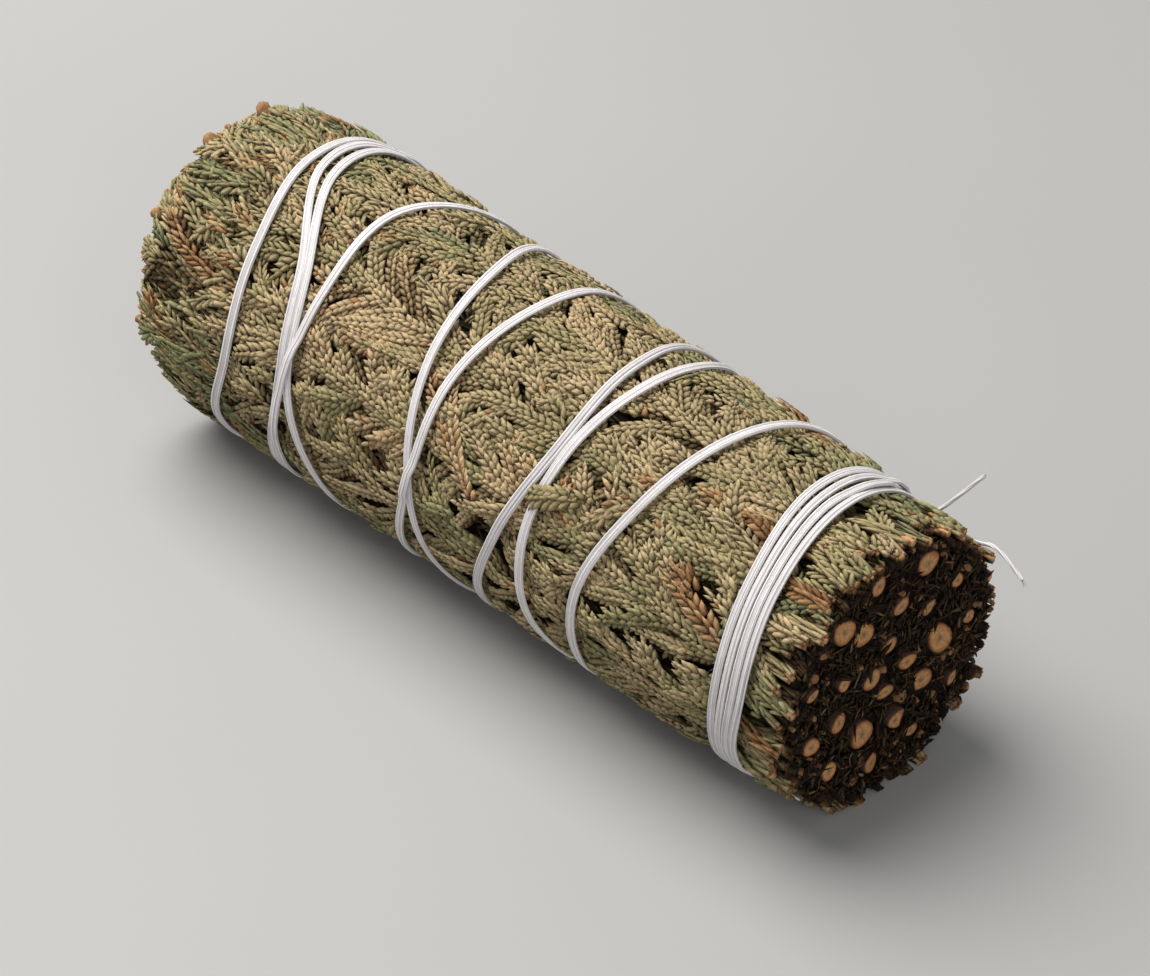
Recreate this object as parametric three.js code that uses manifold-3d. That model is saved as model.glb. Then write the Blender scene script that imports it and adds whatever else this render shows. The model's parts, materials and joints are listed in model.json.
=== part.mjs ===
// A herbal incense bundle: dried sprigs of a scale-leaved conifer laid side by side, cut square at
// the butt, trimmed at the leafy end, and wound with white cotton thread.
// It lies on its side along X with its butt at +X. Millimetres, +Z up, the surface at Z = 0.
// Angles go round the bundle from its top, positive towards -Y.

import * as THREE from 'three';
import { mergeVertices } from 'three/addons/utils/BufferGeometryUtils.js';
import Module from 'manifold-3d';

const wasm = await Module();
wasm.setup();

// The bundle
const LENGTH = 108;
const END = LENGTH / 2;
const MIDDLE_RADIUS = 19;
const TAPER = 1;
const SETTLED = 1.3;
const END_ROUND = 5;
const END_DROP = 0.9;

// The pinch that the thread's tight band makes near the butt
const BAND_X = 44.5;
const BAND_REACH = 6;
const BAND_PINCH = 0.5;

// Three rings of sprigs, from the outside in: how far out each ring reaches, where its stems run and
// how thick they are, and how the borders between its sprigs turn and swing along the bundle
const LEAF_DEPTH = 2;
const OUTER = {
  count: 11,
  from: 11.1,
  stemAt: 13.3,
  stemMin: 0.85,
  stemMax: 1.6,
  turn: 16.4,
  swirl: 14,
  swing: 5.5,
  seed: 1,
};
const MIDDLE = {
  count: 9,
  from: 5.6,
  to: 10.8,
  stemAt: 8.3,
  stemMin: 0.95,
  stemMax: 1.8,
  turn: 5,
  swirl: 10,
  swing: 3,
  seed: 40,
};
const CENTRE = {
  count: 4,
  from: 0.7,
  to: 5.3,
  stemAt: 3,
  stemMin: 1.1,
  stemMax: 1.6,
  turn: 30,
  swirl: 20,
  swing: 0,
  seed: 80,
};
const SWING_LENGTH = 17;
const CELL_GAP = 0.4;
const CORE_BUTT_X = 52.8;
const CORE_LEAFY_X = -50;

// The flat leafy twigs, drawn a little larger than life
const TWIG_WIDTH = 2.9;
const TWIG_THICKNESS = 1.1;
const TWIG_SPACING = 3.4;
const FIRST_ROOT_X = 47;
const LAST_ROOT_X = -46.8;
const FAN_ANGLE = 36;
const LEAFY_FAN_ANGLE = 24;
const TWIG_TOP = 0.4;
const BUTT_TWIGS = 4;
const TIPS_IN_MIDDLE = 4;
const TIPS_ELSEWHERE = 3;
const SHREDS = 3;

// The bare stems
const STEM_SIDES = 6;
const STEM_CLEARANCE = 0.3;

// The thread, three strands side by side, and where each of its turns crosses five lines along the
// bundle's near side. It starts at the butt's lower rim, winds out to the leafy end and back, and ends
// in two tails.
const THREAD_WIDTH = 1.3;
const BAND_THREAD_WIDTH = 1.12;
const THREAD_THICKNESS = 0.56;
const THREAD_OVER_LEAF = 0.5;
const THREAD_STEP = 18;
const THREAD_FIRST_CORNER = 9;
const TAIL_DIAMETER = 0.5;
const SHORT_TAIL_END = [50, 18.6, 32.1];
const LONG_TAIL_END = [58.6, 16, 23.6];
const SEEN_ANGLES = [120, 80, 40, 0, -40];
const TURNS = [
  [46.2, 47.9, 46.6, 44.8, 44.0],
  [45.0, 46.6, 45.4, 43.5, 42.8],
  [15.2, 13.8, 14.6, 16.0, 15.3],
  [-2.5, -5.0, -8.3, -11.3, -15.5],
  [-22.3, -26.0, -29.8, -39.0, -42.0],
  [-41.8, -37.4, -38.9, -43.4, -44.6],
  [-31.4, -27.8, -30.8, -41.2, -43.2],
  [-30.1, -27.2, -26.6, -27.9, -24.5],
  [-8.6, -4.7, -4.2, -2.9, -3.0],
  [4.8, 9.5, 13.3, 12.5, 11.2],
  [21.3, 22.8, 26.7, 29.3, 31.0],
  [42.6, 44.0, 43.0, 40.8, 40.2],
  [43.8, 45.3, 44.2, 42.2, 41.5],
];
const TURNING_ANGLE = -60 - 360 * 5;
const THREAD_START = [[53.6, 142], [49.5, 132]];
const THREAD_END = [43.2, -62];

// The underside: the leaves are pressed flat on the surface at both ends, and a little higher
// between them, where the thread passes beneath
const PRESSED_UNDER_THREAD = 1;
const BUTT_REST_X = 46;
const LEAFY_REST_X = -43.8;

const LEAF = { color: 0x7c7750, roughness: 0.85, metalness: 0 };
const WOOD = { color: 0xa9744a, roughness: 0.8, metalness: 0 };
const COTTON = { color: 0xd9d6d8, roughness: 0.9, metalness: 0 };

function random(from, to, seed) {
  const wave = Math.sin(seed * 12.9898) * 43758.5453;
  return from + (to - from) * (wave - Math.floor(wave));
}

function radians(degrees) {
  return THREE.MathUtils.degToRad(degrees);
}

// The bundle's outline: its radius where the leaves reach furthest out, before the leafy end rounds off
function fullRadius(x) {
  const pinch = BAND_PINCH * Math.exp(-(((x - BAND_X) / BAND_REACH) ** 2));
  return MIDDLE_RADIUS - (TAPER * x) / END - pinch;
}

function leafRadius(x) {
  const past = Math.max(0, END_ROUND - END - x) / END_ROUND;
  return fullRadius(x) - END_DROP * past * past;
}

function place(x, angle, radius) {
  const centre = fullRadius(x) - SETTLED;
  return new THREE.Vector3(x, -radius * Math.sin(angle), centre + radius * Math.cos(angle));
}

// A sprig's cell in its ring: its middle line swings with the borders that it shares
function borderAngle(ring, index, x) {
  const swing = ring.swing * Math.sin(x / SWING_LENGTH + 2.4 * (index % ring.count));
  return radians(ring.turn + (360 * index) / ring.count + (ring.swirl * x) / LENGTH + swing);
}

function cellAt(ring, index, x) {
  const first = borderAngle(ring, index, x);
  const second = borderAngle(ring, index + 1, x);
  return { middle: (first + second) / 2, half: (second - first) / 2 };
}

function ringTop(ring, x) {
  return ring.to ?? fullRadius(x) - LEAF_DEPTH;
}

// Solids
function facesOutward(vertices, corners) {
  let volume = 0;
  const [a, b, c] = [new THREE.Vector3(), new THREE.Vector3(), new THREE.Vector3()];
  for (let i = 0; i < corners.length; i += 3) {
    a.fromArray(vertices, corners[i] * 3);
    b.fromArray(vertices, corners[i + 1] * 3);
    c.fromArray(vertices, corners[i + 2] * 3);
    volume += a.dot(b.cross(c));
  }
  return volume > 0;
}

function solidOf(geometry) {
  geometry.deleteAttribute('normal');
  geometry.deleteAttribute('uv');
  const merged = mergeVertices(geometry, 1e-4);
  const vertProperties = new Float32Array(merged.getAttribute('position').array);
  const triVerts = new Uint32Array(merged.getIndex().array);
  if (!facesOutward(vertProperties, triVerts)) {
    triVerts.reverse();
  }
  return new wasm.Manifold(new wasm.Mesh({ numProp: 3, vertProperties, triVerts }));
}

// A cylinder or cone moved onto its place: placeAt gets how far along a vertex is, 0 to 1, and its
// direction from the middle line
function shaped(geometry, placeAt) {
  const position = geometry.getAttribute('position');
  for (let i = 0; i < position.count; i += 1) {
    const side = position.getX(i);
    const out = position.getZ(i);
    const size = Math.hypot(side, out) || 1;
    const point = placeAt(position.getY(i) + 0.5, side / size, out / size);
    position.setXYZ(i, point.x, point.y, point.z);
  }
  return solidOf(geometry);
}

function joined(solids) {
  return wasm.Manifold.union(solids);
}

// Cutting can part a scrap from a sprig, and the scrap falls away
function largestPiece(solid) {
  const pieces = solid.decompose();
  pieces.sort((first, second) => second.volume() - first.volume());
  return pieces[0];
}

function meshOf(name, solid, look) {
  const { vertProperties, triVerts } = solid.getMesh();
  const geometry = new THREE.BufferGeometry();
  geometry.setAttribute('position', new THREE.BufferAttribute(new Float32Array(vertProperties), 3));
  geometry.setIndex(new THREE.BufferAttribute(new Uint32Array(triVerts), 1));
  geometry.computeVertexNormals();
  const mesh = new THREE.Mesh(geometry, new THREE.MeshStandardMaterial({ ...look }));
  mesh.name = name;
  return mesh;
}

// The packed heart of a sprig, which its twigs stand out of
function heart(ring, index) {
  const [sides, steps] = ring === OUTER ? [8, 4] : [6, 2];
  return shaped(new THREE.CylinderGeometry(1, 1, 1, sides, steps), (along, side, out) => {
    const x = THREE.MathUtils.lerp(CORE_LEAFY_X, CORE_BUTT_X, along);
    const { middle, half } = cellAt(ring, index, x);
    const top = ringTop(ring, x);
    const squareOut = Math.sign(out) * Math.abs(out) ** 0.6;
    const squareSide = Math.sign(side) * Math.abs(side) ** 0.5;
    const radius = (ring.from + top) / 2 + (squareOut * (top - ring.from)) / 2;
    const angle = middle + squareSide * (half - CELL_GAP / 2 / radius);
    return place(x, angle, radius);
  });
}

// One flat leafy twig, a spindle with a flat underside and a ridge along its back. The stations from
// its root to its tip are each given by x, by the distance across from the sprig's middle line, by the
// radius of the underside, and by width and thickness.
function twig(ring, index, stations) {
  const root = stations[0];
  const tip = stations[stations.length - 1];
  const run = Math.hypot(tip.x - root.x, tip.across - root.across);
  const towards = [(tip.x - root.x) / run, (tip.across - root.across) / run];
  const steps = stations.length - 1;
  return shaped(new THREE.ConeGeometry(1, 1, 3, steps), (along, side, out) => {
    const station = stations[Math.round(along * steps)];
    const shift = (Math.sign(Math.round(side)) * station.width) / 2;
    const x = station.x - towards[1] * shift;
    const across = station.across + towards[0] * shift;
    const radius = station.radius + (out > 0 ? station.thickness : 0);
    const { middle } = cellAt(ring, index, x);
    return place(x, middle + across / radius, radius);
  });
}

// The fans: twigs set alternately left and right along the sprig, tips towards the leafy end
function fanAngle(x) {
  const towardsLeafy = THREE.MathUtils.smoothstep(-x, 20, 48);
  return radians(THREE.MathUtils.lerp(FAN_ANGLE, LEAFY_FAN_ANGLE, towardsLeafy));
}

function fanRoots(index) {
  const roots = [];
  let x = FIRST_ROOT_X - random(0, 2, OUTER.seed + index);
  while (x > LAST_ROOT_X) {
    roots.push(x);
    x -= TWIG_SPACING / Math.sin(fanAngle(x)) / 2;
  }
  return roots;
}

function fanTwig(index, rootX, side) {
  const seed = OUTER.seed + index * 97 + rootX;
  const angle = fanAngle(rootX) + radians(random(-2, 2, seed + 1));
  const { half } = cellAt(OUTER, index, rootX - 5);
  const reach = half * leafRadius(rootX) - CELL_GAP / 2;
  const tipAcross = side * (reach - random(0.35, 0.9, seed + 2));
  const tipX = Math.max(rootX - Math.abs(tipAcross) / Math.tan(angle), random(-END, -END + 1, seed + 3));
  const bellyX = THREE.MathUtils.lerp(rootX, tipX, 0.5);
  const top = leafRadius(bellyX) - TWIG_TOP - random(0, 0.35, seed + 4);
  const root = {
    x: rootX + 0.8,
    across: 0,
    radius: leafRadius(rootX) - LEAF_DEPTH - 1.6,
    width: 1.7,
    thickness: 1,
  };
  const belly = {
    x: bellyX,
    across: tipAcross * 0.5,
    radius: top - TWIG_THICKNESS,
    width: TWIG_WIDTH,
    thickness: TWIG_THICKNESS,
  };
  const tip = { x: tipX, across: tipAcross, radius: leafRadius(tipX) - 1.3, width: 0, thickness: 0 };
  return twig(OUTER, index, [root, belly, tip]);
}

// The cut ends of the outer sprays, which stand out round the butt nearly along the bundle
function buttTwig(index, turn, count) {
  const seed = OUTER.seed + index * 31 + turn * 5;
  const { half } = cellAt(OUTER, index, END);
  const width = half * leafRadius(END) - CELL_GAP / 2;
  const across = width * 0.88 * ((2 * turn + 1) / count - 1);
  const cutX = random(END - 1.4, END, seed);
  const root = {
    x: cutX,
    across,
    radius: leafRadius(END) - random(1.3, 1.7, seed + 1),
    width: 2.2,
    thickness: 1.1,
  };
  const belly = {
    x: cutX - 5,
    across: across * 0.96,
    radius: leafRadius(cutX - 5) - 1.5,
    width: 2.4,
    thickness: TWIG_THICKNESS,
  };
  const tip = {
    x: cutX - 12,
    across: across * 0.9,
    radius: leafRadius(42) - LEAF_DEPTH - 1,
    width: 0,
    thickness: 0,
  };
  return twig(OUTER, index, [root, belly, tip]);
}

// The trimmed twigs that close the leafy end, round each sprig's cell: blunt where they are cut
function leafyTip(ring, index, turn, count) {
  const seed = ring.seed + index * 13 + turn * 11;
  const around = (2 * Math.PI * (turn + 0.5)) / count;
  const { half } = cellAt(ring, index, -END);
  const top = ringTop(ring, -END) - (ring === OUTER ? 1.6 : 0);
  const radius = (ring.from + top) / 2 + (Math.cos(around) * (top - ring.from)) / 3.4;
  const across = Math.sin(around) * half * radius * 0.55;
  const width = Math.min(2.8, half * radius * 0.7);
  const cutX = random(-END + 0.1, -END + 2, seed) + (radius > 13 ? 1 : 0);
  const root = { x: cutX, across, radius: radius - 0.6, width, thickness: 1.5 };
  const tip = { x: CORE_LEAFY_X + 5, across: across * 0.8, radius, width: 0, thickness: 0 };
  return twig(ring, index, [root, tip]);
}

// Shreds of cut leaf that stand a little out of the butt between the stems
function buttShred(ring, index, turn, count) {
  const seed = ring.seed + index * 17 + turn * 19;
  const around = (2 * Math.PI * (turn + 0.3)) / count;
  const { half } = cellAt(ring, index, END);
  const top = ringTop(ring, END);
  const radius = (ring.from + top) / 2 + (Math.cos(around) * (top - ring.from)) / 3;
  const across = Math.sin(around) * half * radius * 0.6;
  const cutX = random(END - 1, END - 0.1, seed);
  const root = { x: cutX, across, radius, width: 1.9, thickness: 1 };
  const tip = { x: cutX - 5, across: across * 0.9, radius, width: 0, thickness: 0 };
  return twig(ring, index, [root, tip]);
}

// A bare stem: thickest at the butt, thinning towards the leaves, and some of the outer ones long
// enough to show their ends at the leafy rim
function stemPlan(ring, index) {
  const seed = ring.seed + index * 23;
  const radius = THREE.MathUtils.lerp(ring.stemMin, ring.stemMax, random(0, 1, seed));
  const long = ring === OUTER && index % 2 === 0;
  return {
    radius,
    buttX: END - random(0, 0.9, seed + 1),
    leafyX: long ? -END + random(0.2, 1.2, seed + 2) : random(-34, -10, seed + 3),
    tipRadius: long ? 0.55 : radius * 0.55,
    ringRadius: ring.stemAt + random(-0.4, 0.3, seed + 4),
    rise: long ? 2.1 : 0,
  };
}

function stem(ring, index, clearance) {
  const plan = stemPlan(ring, index);
  const overButt = clearance > 0 ? 3 : 0;
  const overTip = clearance > 0 ? 0.5 : 0;
  return shaped(new THREE.CylinderGeometry(1, 1, 1, STEM_SIDES, 2), (along, side, out) => {
    const x = THREE.MathUtils.lerp(plan.leafyX, plan.buttX, along);
    const radius = THREE.MathUtils.lerp(plan.tipRadius, plan.radius, along) + clearance;
    const { middle } = cellAt(ring, index, x);
    const point = place(x, middle, plan.ringRadius + plan.rise * (1 - along));
    point.x += along === 1 ? overButt : 0;
    point.x -= along === 0 ? overTip : 0;
    point.y += side * radius;
    point.z += out * radius;
    return point;
  });
}

// What the surface and the thread beneath press flat
function block(fromX, toX, top) {
  const below = 10;
  const geometry = new THREE.BoxGeometry(toX - fromX, 4 * MIDDLE_RADIUS, below);
  geometry.translate((fromX + toX) / 2, 0, top - below / 2);
  return solidOf(geometry);
}

function leaves(ring, index) {
  const parts = [heart(ring, index)];
  const tips = ring === MIDDLE ? TIPS_IN_MIDDLE : TIPS_ELSEWHERE;
  for (let turn = 0; turn < tips; turn += 1) {
    parts.push(leafyTip(ring, index, turn, tips));
  }
  if (ring === OUTER) {
    fanRoots(index).forEach((x, turn) => parts.push(fanTwig(index, x, turn % 2 === 0 ? -1 : 1)));
    for (let turn = 0; turn < BUTT_TWIGS; turn += 1) {
      parts.push(buttTwig(index, turn, BUTT_TWIGS));
    }
  } else {
    for (let turn = 0; turn < SHREDS; turn += 1) {
      parts.push(buttShred(ring, index, turn, SHREDS));
    }
  }
  const grown = joined(parts).subtract(stem(ring, index, STEM_CLEARANCE));
  if (ring !== OUTER) {
    return largestPiece(grown);
  }
  const past = END + 5;
  const pressed = grown
    .subtract(block(-past, past, 0))
    .subtract(block(LEAFY_REST_X, BUTT_REST_X, PRESSED_UNDER_THREAD));
  return largestPiece(pressed);
}

// The thread
function threadPoints() {
  const points = THREAD_START.map(([x, angle]) => ({ angle, x }));
  TURNS.forEach((turn, index) => {
    turn.forEach((x, line) => points.push({ angle: SEEN_ANGLES[line] - 360 * index, x }));
  });
  points.push({ angle: THREAD_END[1] - 360 * (TURNS.length - 1), x: THREAD_END[0] });
  return points;
}

// Where the thread is at an angle: an eased curve through the marked crossings
function threadX(points, angle) {
  let next = 1;
  while (next < points.length - 1 && points[next].angle > angle) {
    next += 1;
  }
  const before = points[Math.max(0, next - 2)];
  const from = points[next - 1];
  const to = points[next];
  const after = points[Math.min(points.length - 1, next + 1)];
  const span = from.angle - to.angle;
  const share = (from.angle - angle) / span;
  const slopeFrom = ((to.x - before.x) / (before.angle - to.angle)) * span;
  const slopeTo = ((after.x - from.x) / (from.angle - after.angle)) * span;
  const square = share * share;
  const cube = square * share;
  return (
    (2 * cube - 3 * square + 1) * from.x +
    (cube - 2 * square + share) * slopeFrom +
    (3 * square - 2 * cube) * to.x +
    (cube - square) * slopeTo
  );
}

// The thread's way back climbs over each turn of its way out that it crosses
function crossingLift(points, angle) {
  const x = threadX(points, angle);
  let nearest = Infinity;
  for (let outward = angle + 360; outward < points[0].angle; outward += 360) {
    if (outward > TURNING_ANGLE) {
      nearest = Math.min(nearest, Math.abs(threadX(points, outward) - x));
    }
  }
  return (THREAD_THICKNESS + 0.06) * (1 - THREE.MathUtils.smoothstep(nearest, 1.4, 3.6));
}

// The thread's middle line lies on the leaves and never under the surface
function onLeaves(x, angle, lift) {
  const point = place(x, angle, fullRadius(x) + THREAD_OVER_LEAF + lift);
  point.z = Math.max(point.z, THREAD_THICKNESS / 2 + 0.05);
  return point;
}

// The corners of a turn stand at the same angles on every turn, two of them where it meets the surface
function cornerAngles(fromAngle, toAngle) {
  const angles = [fromAngle];
  const first = Math.ceil((fromAngle - THREAD_FIRST_CORNER) / THREAD_STEP) - 1;
  for (let turn = first; THREAD_FIRST_CORNER + turn * THREAD_STEP > toAngle; turn -= 1) {
    angles.push(THREAD_FIRST_CORNER + turn * THREAD_STEP);
  }
  angles.push(toAngle);
  return angles;
}

function threadWidth(x) {
  return THREE.MathUtils.lerp(THREAD_WIDTH, BAND_THREAD_WIDTH, THREE.MathUtils.smoothstep(x, 30, 40));
}

// A square rod of which each corner is set to one edge of the thread: in or out, left or right
function ribbon(points, fromAngle, toAngle, liftAt) {
  const angles = cornerAngles(fromAngle, toAngle);
  const steps = angles.length - 1;
  return shaped(new THREE.CylinderGeometry(1, 1, 1, 4, steps), (along, corner, end) => {
    const side = Math.sign(corner + end);
    const out = Math.sign(corner - end);
    const angle = angles[Math.round(along * steps)];
    const x = threadX(points, angle);
    const point = onLeaves(x, radians(angle), liftAt(angle));
    const lying = point.z < THREAD_THICKNESS;
    const outward = lying
      ? new THREE.Vector3(0, 0, -1)
      : new THREE.Vector3(0, -Math.sin(radians(angle)), Math.cos(radians(angle)));
    point.x += (side * threadWidth(x)) / 2;
    return point.addScaledVector(outward, (out * THREAD_THICKNESS) / 2);
  });
}

function tail(points) {
  const curve = new THREE.CatmullRomCurve3(points);
  const section = new THREE.Shape();
  section.absarc(0, 0, TAIL_DIAMETER / 2, 0, 2 * Math.PI);
  const settings = { steps: 5, curveSegments: 6, bevelEnabled: false, extrudePath: curve };
  return solidOf(new THREE.ExtrudeGeometry(section, settings));
}

function thread() {
  const points = threadPoints();
  const last = points[points.length - 1].angle;
  const wayOut = ribbon(points, points[0].angle, TURNING_ANGLE, () => 0);
  const wayBack = ribbon(points, TURNING_ANGLE + 8, last, (angle) => crossingLift(points, angle));
  return joined([wayOut, wayBack, ...tails()]);
}

// Two single ends of the thread: one springs off the band, the other runs along the far side to the
// butt and stands out past its rim
function tails() {
  const start = onLeaves(THREAD_END[0], radians(THREAD_END[1] + 6), 0);
  const lifted = onLeaves(45.6, radians(-58), 0.3);
  const along = onLeaves(49.6, radians(-66), 0.1);
  const rim = onLeaves(54.2, radians(-62), 0.3);
  const shortEnd = new THREE.Vector3(...SHORT_TAIL_END);
  const longEnd = new THREE.Vector3(...LONG_TAIL_END);
  return [tail([start, lifted, shortEnd]), tail([start, along, rim, longEnd])];
}

const bundle = new THREE.Group();
let number = 0;
for (const ring of [OUTER, MIDDLE, CENTRE]) {
  for (let index = 0; index < ring.count; index += 1) {
    number += 1;
    const sprig = `sprig_${String(number).padStart(2, '0')}`;
    bundle.add(meshOf(`${sprig}_leaves`, leaves(ring, index), LEAF));
    bundle.add(meshOf(`${sprig}_stem`, stem(ring, index, 0), WOOD));
  }
}
bundle.add(meshOf('thread', thread(), COTTON));

// The origin is under the middle of the whole bundle, tails and all, on the surface
const middle = new THREE.Box3().setFromObject(bundle).getCenter(new THREE.Vector3());
bundle.position.set(-middle.x, -middle.y, 0);

export default bundle;
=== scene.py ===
import json
import math
import random

import bmesh
import bpy
import numpy as np
from mathutils import Matrix, Vector, noise

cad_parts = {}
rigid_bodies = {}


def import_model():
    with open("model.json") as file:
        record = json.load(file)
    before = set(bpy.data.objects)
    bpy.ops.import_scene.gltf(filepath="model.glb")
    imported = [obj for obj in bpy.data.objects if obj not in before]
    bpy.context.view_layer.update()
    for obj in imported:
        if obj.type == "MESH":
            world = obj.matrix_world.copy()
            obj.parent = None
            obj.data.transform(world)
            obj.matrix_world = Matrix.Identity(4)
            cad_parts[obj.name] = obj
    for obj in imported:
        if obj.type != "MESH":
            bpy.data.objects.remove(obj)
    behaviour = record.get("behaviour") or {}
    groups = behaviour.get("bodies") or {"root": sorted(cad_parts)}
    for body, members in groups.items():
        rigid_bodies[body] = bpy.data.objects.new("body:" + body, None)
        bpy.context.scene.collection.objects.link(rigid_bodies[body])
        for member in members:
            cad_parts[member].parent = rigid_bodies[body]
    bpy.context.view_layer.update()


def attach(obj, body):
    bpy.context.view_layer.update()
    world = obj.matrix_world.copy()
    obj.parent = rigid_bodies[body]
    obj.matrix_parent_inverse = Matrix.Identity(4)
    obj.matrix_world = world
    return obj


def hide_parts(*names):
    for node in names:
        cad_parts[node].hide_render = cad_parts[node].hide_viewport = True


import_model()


# The bare stems
# Every sprig has a woody stem, about 2 to 4 mm thick, with thin rusty bark. The stems lie side by side in
# three rings and are all cut square together with shears, so their pale wood shows at the butt.
MM = 0.001
BUNDLE_AT = Vector((-2.3955, -0.1379, 0))
HALF_LENGTH = 54
WITH_BARK = 1.07
OUTER = {
    "count": 11, "inside": 11.1, "stem_at": 13.3, "thinnest": 0.85, "thickest": 1.6,
    "turn": 16.4, "swirl": 14, "swing": 5.5, "seed": 1, "first": 1,
}
MIDDLE = {
    "count": 9, "inside": 5.6, "outside": 10.8, "stem_at": 8.3, "thinnest": 0.95, "thickest": 1.8,
    "turn": 5, "swirl": 10, "swing": 3, "seed": 40, "first": 12,
}
CENTRE = {
    "count": 4, "inside": 0.7, "outside": 5.3, "stem_at": 3, "thinnest": 1.1, "thickest": 1.6,
    "turn": 30, "swirl": 20, "swing": 0, "seed": 80, "first": 21,
}


def full_radius(x):
    """How thick the bundle is: thicker at the leafy end, and drawn in by the band near the butt."""
    return 19 - x / 54 - 0.5 * np.exp(-(((x - 44.5) / 6) ** 2))


def leaf_radius(x):
    """The same for the leaves, which round off at the leafy end."""
    past = np.clip((-49 - x) / 5, 0, None)
    return full_radius(x) - 0.9 * past**2


def place(x, angle, radius):
    """A point of the bundle, by its angle round the middle line from the top, towards -Y."""
    middle_height = full_radius(x) - 1.3
    return x, -radius * np.sin(angle), middle_height + radius * np.cos(angle)


def border(ring, index, x):
    swing = ring["swing"] * np.sin(x / 17 + 2.4 * (index % ring["count"]))
    return np.radians(ring["turn"] + 360 * index / ring["count"] + ring["swirl"] * x / 108 + swing)


def cell(ring, index, x):
    """The middle angle and the half angle of a sprig's place in its ring."""
    first, second = border(ring, index, x), border(ring, index + 1, x)
    return (first + second) / 2, (second - first) / 2


def chance(low, high, seed):
    """A value between low and high that the seed alone settles."""
    wave = math.sin(seed * 12.9898) * 43758.5453
    return low + (high - low) * (wave - math.floor(wave))


def stem_plan(ring, index):
    """A stem's thickness, where it ends, and how far out it lies. Every second outer one is a long one."""
    seed = ring["seed"] + index * 23
    radius = chance(ring["thinnest"], ring["thickest"], seed)
    long = ring is OUTER and index % 2 == 0
    return {
        "radius": radius,
        "butt": HALF_LENGTH - chance(0, 0.9, seed + 1),
        "leafy": -HALF_LENGTH + chance(0.2, 1.2, seed + 2) if long else chance(-34, -10, seed + 3),
        "tip_radius": 0.55 if long else radius * 0.55,
        "at": ring["stem_at"] + chance(-0.4, 0.3, seed + 4),
        "rise": 2.1 if long else 0,
    }


def rod(sides, stations):
    """A closed rod along X with a ring of vertices at each station's x and radius."""
    bm = bmesh.new()
    x, radius = stations[0]
    upright = Matrix.Translation((x, 0, 0)) @ Matrix.Rotation(math.pi / 2, 4, "Y")
    disc = bmesh.ops.create_circle(bm, cap_ends=True, segments=sides, radius=radius, matrix=upright)
    edges = list(dict.fromkeys(edge for vert in disc["verts"] for edge in vert.link_edges))
    for next_x, next_radius in stations[1:]:
        grown = bmesh.ops.extrude_edge_only(bm, edges=edges)["geom"]
        ring = [part for part in grown if isinstance(part, bmesh.types.BMVert)]
        edges = [part for part in grown if isinstance(part, bmesh.types.BMEdge) and part.is_boundary]
        bmesh.ops.translate(bm, verts=ring, vec=(next_x - x, 0, 0))
        widen = next_radius / radius
        bmesh.ops.scale(bm, verts=ring, vec=(1, widen, widen))
        x, radius = next_x, next_radius
    bmesh.ops.contextual_create(bm, geom=edges)
    in_order = Vector((1, 0.01, 0.0001))
    bm.faces.sort(key=lambda face: face.calc_center_median().dot(in_order))
    return bm


def finished(name, bm, materials, node, marks=None):
    """The piece in its place in the frame, for the CAD node that it stands for."""
    bmesh.ops.recalc_face_normals(bm, faces=bm.faces)
    bmesh.ops.translate(bm, verts=bm.verts, vec=BUNDLE_AT)
    bmesh.ops.scale(bm, verts=bm.verts, vec=(MM, MM, MM))
    mesh = bpy.data.meshes.new(name)
    bm.to_mesh(mesh)
    bm.free()
    mesh.shade_smooth()
    for material in materials:
        mesh.materials.append(material)
    for mark, values in (marks or {}).items():
        mesh.attributes.new(mark, "FLOAT", "POINT").data.foreach_set("value", values)
    piece = bpy.data.objects.new(name, mesh)
    bpy.context.scene.collection.objects.link(piece)
    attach(piece, "root")
    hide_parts(node)
    return piece


def node_of(tree, kind, **settings):
    node = tree.nodes.new(kind)
    for key, value in settings.items():
        setattr(node, key, value)
    return node


def colour_ramp(tree, stops):
    ramp = node_of(tree, "ShaderNodeValToRGB")
    while len(ramp.color_ramp.elements) < len(stops):
        ramp.color_ramp.elements.new(1)
    for element, (position, colour) in zip(ramp.color_ramp.elements, stops):
        element.position = position
        element.color = (*colour, 1)
    return ramp


def noise_on_object(tree, scale, detail):
    coordinates = node_of(tree, "ShaderNodeTexCoord")
    clouds = node_of(tree, "ShaderNodeTexNoise")
    clouds.inputs["Scale"].default_value = scale
    clouds.inputs["Detail"].default_value = detail
    tree.links.new(coordinates.outputs["Object"], clouds.inputs["Vector"])
    return clouds


def multiplied(tree, first, second):
    mix = node_of(tree, "ShaderNodeMix", data_type="RGBA", blend_type="MULTIPLY")
    mix.inputs["Factor"].default_value = 1
    tree.links.new(first, mix.inputs["A"])
    tree.links.new(second, mix.inputs["B"])
    return mix.outputs["Result"]


def bumped(tree, height, shader, strength, distance):
    bump = node_of(tree, "ShaderNodeBump")
    bump.inputs["Strength"].default_value = strength
    bump.inputs["Distance"].default_value = distance
    tree.links.new(height, bump.inputs["Height"])
    tree.links.new(bump.outputs["Normal"], shader.inputs["Normal"])


def new_material(name, roughness):
    material = bpy.data.materials.new(name)
    material.use_nodes = True
    shader = material.node_tree.nodes["Principled BSDF"]
    shader.inputs["Roughness"].default_value = roughness
    return material, material.node_tree, shader


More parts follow.
